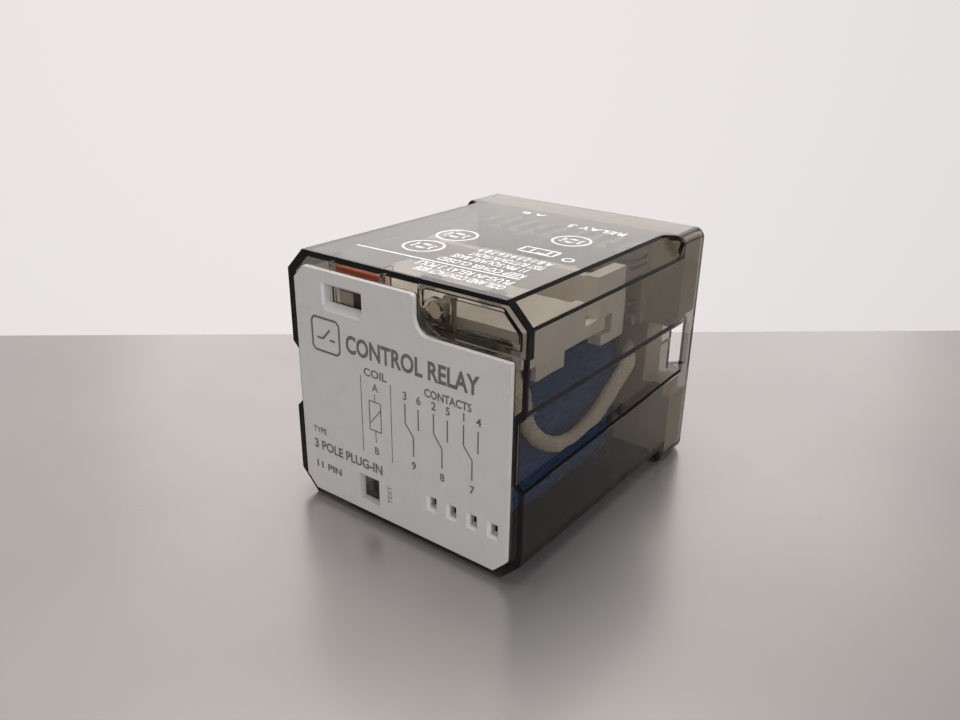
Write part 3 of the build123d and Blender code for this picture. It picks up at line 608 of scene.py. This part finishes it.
# --- stage -----------------------------------------------------------------------------------------
AZIMUTH = 0.6461
ELEVATION = 0.3956
ROLL = 0.0149
DISTANCE = 116.0
TARGET = Vector((0.0, -8.52, 19.26))
LENS = 31.27
SENSOR = 36.0
TABLE_TURN = 0.7027
TABLE_EDGE = 54.6
TABLE_REACH = 1.5
WALL_TURN = 0.80
WALL_STOPS = (
    (0.0, (0.1, 0.097, 0.093)), (0.25, (0.13, 0.127, 0.122)),
    (0.62, (0.72, 0.69, 0.69)), (0.97, (0.84, 0.80, 0.79)),
)
LOW_AIM = (0, 0, 0.02)
LIGHTS = (
    ("back_softbox", (-0.55, 0.80, 0.38), LOW_AIM, (1.1, 0.62), 1.0),
    ("overhead", (-0.1, 0.1, 0.9), (0, 0, 0), (0.6, 0.6), 10.0),
    ("front", (0.2, -0.8, 0.72), LOW_AIM, (0.5, 0.5), 3.9),
    ("right_fill", (0.95, -0.3, 0.26), LOW_AIM, (0.7, 0.5), 5.5),
)


def place_camera():
    """Camera at the photograph's angle, a little rolled."""
    lens = bpy.data.cameras.new("camera")
    lens.lens = LENS
    lens.sensor_width = SENSOR
    lens.clip_start = 5 * MM
    lens.clip_end = 20.0
    camera = bpy.data.objects.new("camera", lens)
    back = Vector((
        math.sin(AZIMUTH) * math.cos(ELEVATION),
        -math.cos(AZIMUTH) * math.cos(ELEVATION),
        math.sin(ELEVATION),
    ))
    right = Vector((math.cos(AZIMUTH), math.sin(AZIMUTH), 0.0))
    up = back.cross(right)
    across = right * math.cos(ROLL) + up * math.sin(ROLL)
    above = up * math.cos(ROLL) - right * math.sin(ROLL)
    turn = Matrix((across, above, back)).transposed().to_4x4()
    camera.matrix_world = Matrix.Translation((TARGET + back * DISTANCE) * MM) @ turn
    scene.collection.objects.link(camera)
    scene.camera = camera


def area_light(name, place, aim, size, power):
    """White rectangular lamp, in metres and watts, turned towards aim."""
    lamp = bpy.data.lights.new(name, "AREA")
    lamp.shape = "RECTANGLE"
    lamp.size, lamp.size_y = size
    lamp.energy = power
    light = bpy.data.objects.new(name, lamp)
    light.location = place
    light.rotation_euler = (Vector(aim) - Vector(place)).to_track_quat("-Z", "Y").to_euler()
    scene.collection.objects.link(light)


def make_floor():
    """Plain pale floor with a dull sheen. Its far edge lies close behind the relay."""
    look = Look("pale_floor")
    cloud = look.noise(0.02, 4.0)
    tone = look.mix(look.spread(cloud, 0.0, 1.0), rgb(172, 167, 164), rgb(165, 160, 158))
    look.principled(Base_Color=tone, Metallic=0.7, Roughness=0.27, Specular_IOR_Level=0.6)
    mesh = bpy.data.meshes.new("floor")
    bm = bmesh.new()
    away = Vector((-math.sin(TABLE_TURN), math.cos(TABLE_TURN), 0.0))
    side = Vector((math.cos(TABLE_TURN), math.sin(TABLE_TURN), 0.0))
    rear = away * TABLE_EDGE * MM
    front = away * -TABLE_REACH
    left = side * -TABLE_REACH
    right = side * TABLE_REACH
    corners = (left + front, right + front, right + rear, left + rear)
    bm.faces.new([bm.verts.new(corner) for corner in corners])
    bm.to_mesh(mesh)
    bm.free()
    floor = bpy.data.objects.new("floor", mesh)
    mesh.materials.append(look.material)
    scene.collection.objects.link(floor)


def make_world():
    """Studio surroundings: a bright wall behind the relay, and a darker room elsewhere."""
    world = bpy.data.worlds.new("studio")
    world.use_nodes = True
    tree = world.node_tree
    tree.nodes.clear()
    out = tree.nodes.new("ShaderNodeOutputWorld")
    back = tree.nodes.new("ShaderNodeBackground")
    place = tree.nodes.new("ShaderNodeTexCoord")
    facing = tree.nodes.new("ShaderNodeVectorMath")
    facing.operation = "DOT_PRODUCT"
    facing.inputs[1].default_value = (-math.sin(WALL_TURN), math.cos(WALL_TURN), 0.0)
    ramp = tree.nodes.new("ShaderNodeValToRGB")
    tree.links.new(place.outputs["Generated"], facing.inputs[0])
    tree.links.new(facing.outputs["Value"], ramp.inputs[0])
    for stop, (position, colour) in enumerate(WALL_STOPS):
        element = ramp.color_ramp.elements[stop] if stop < 2 else ramp.color_ramp.elements.new(position)
        element.position = position
        element.color = (*colour, 1)
    tree.links.new(ramp.outputs[0], back.inputs["Color"])
    back.inputs["Strength"].default_value = 1.0
    tree.links.new(back.outputs[0], out.inputs[0])
    scene.world = world


place_camera()
make_floor()
make_world()
for light in LIGHTS:
    area_light(*light)
scene.view_settings.view_transform = "Standard"
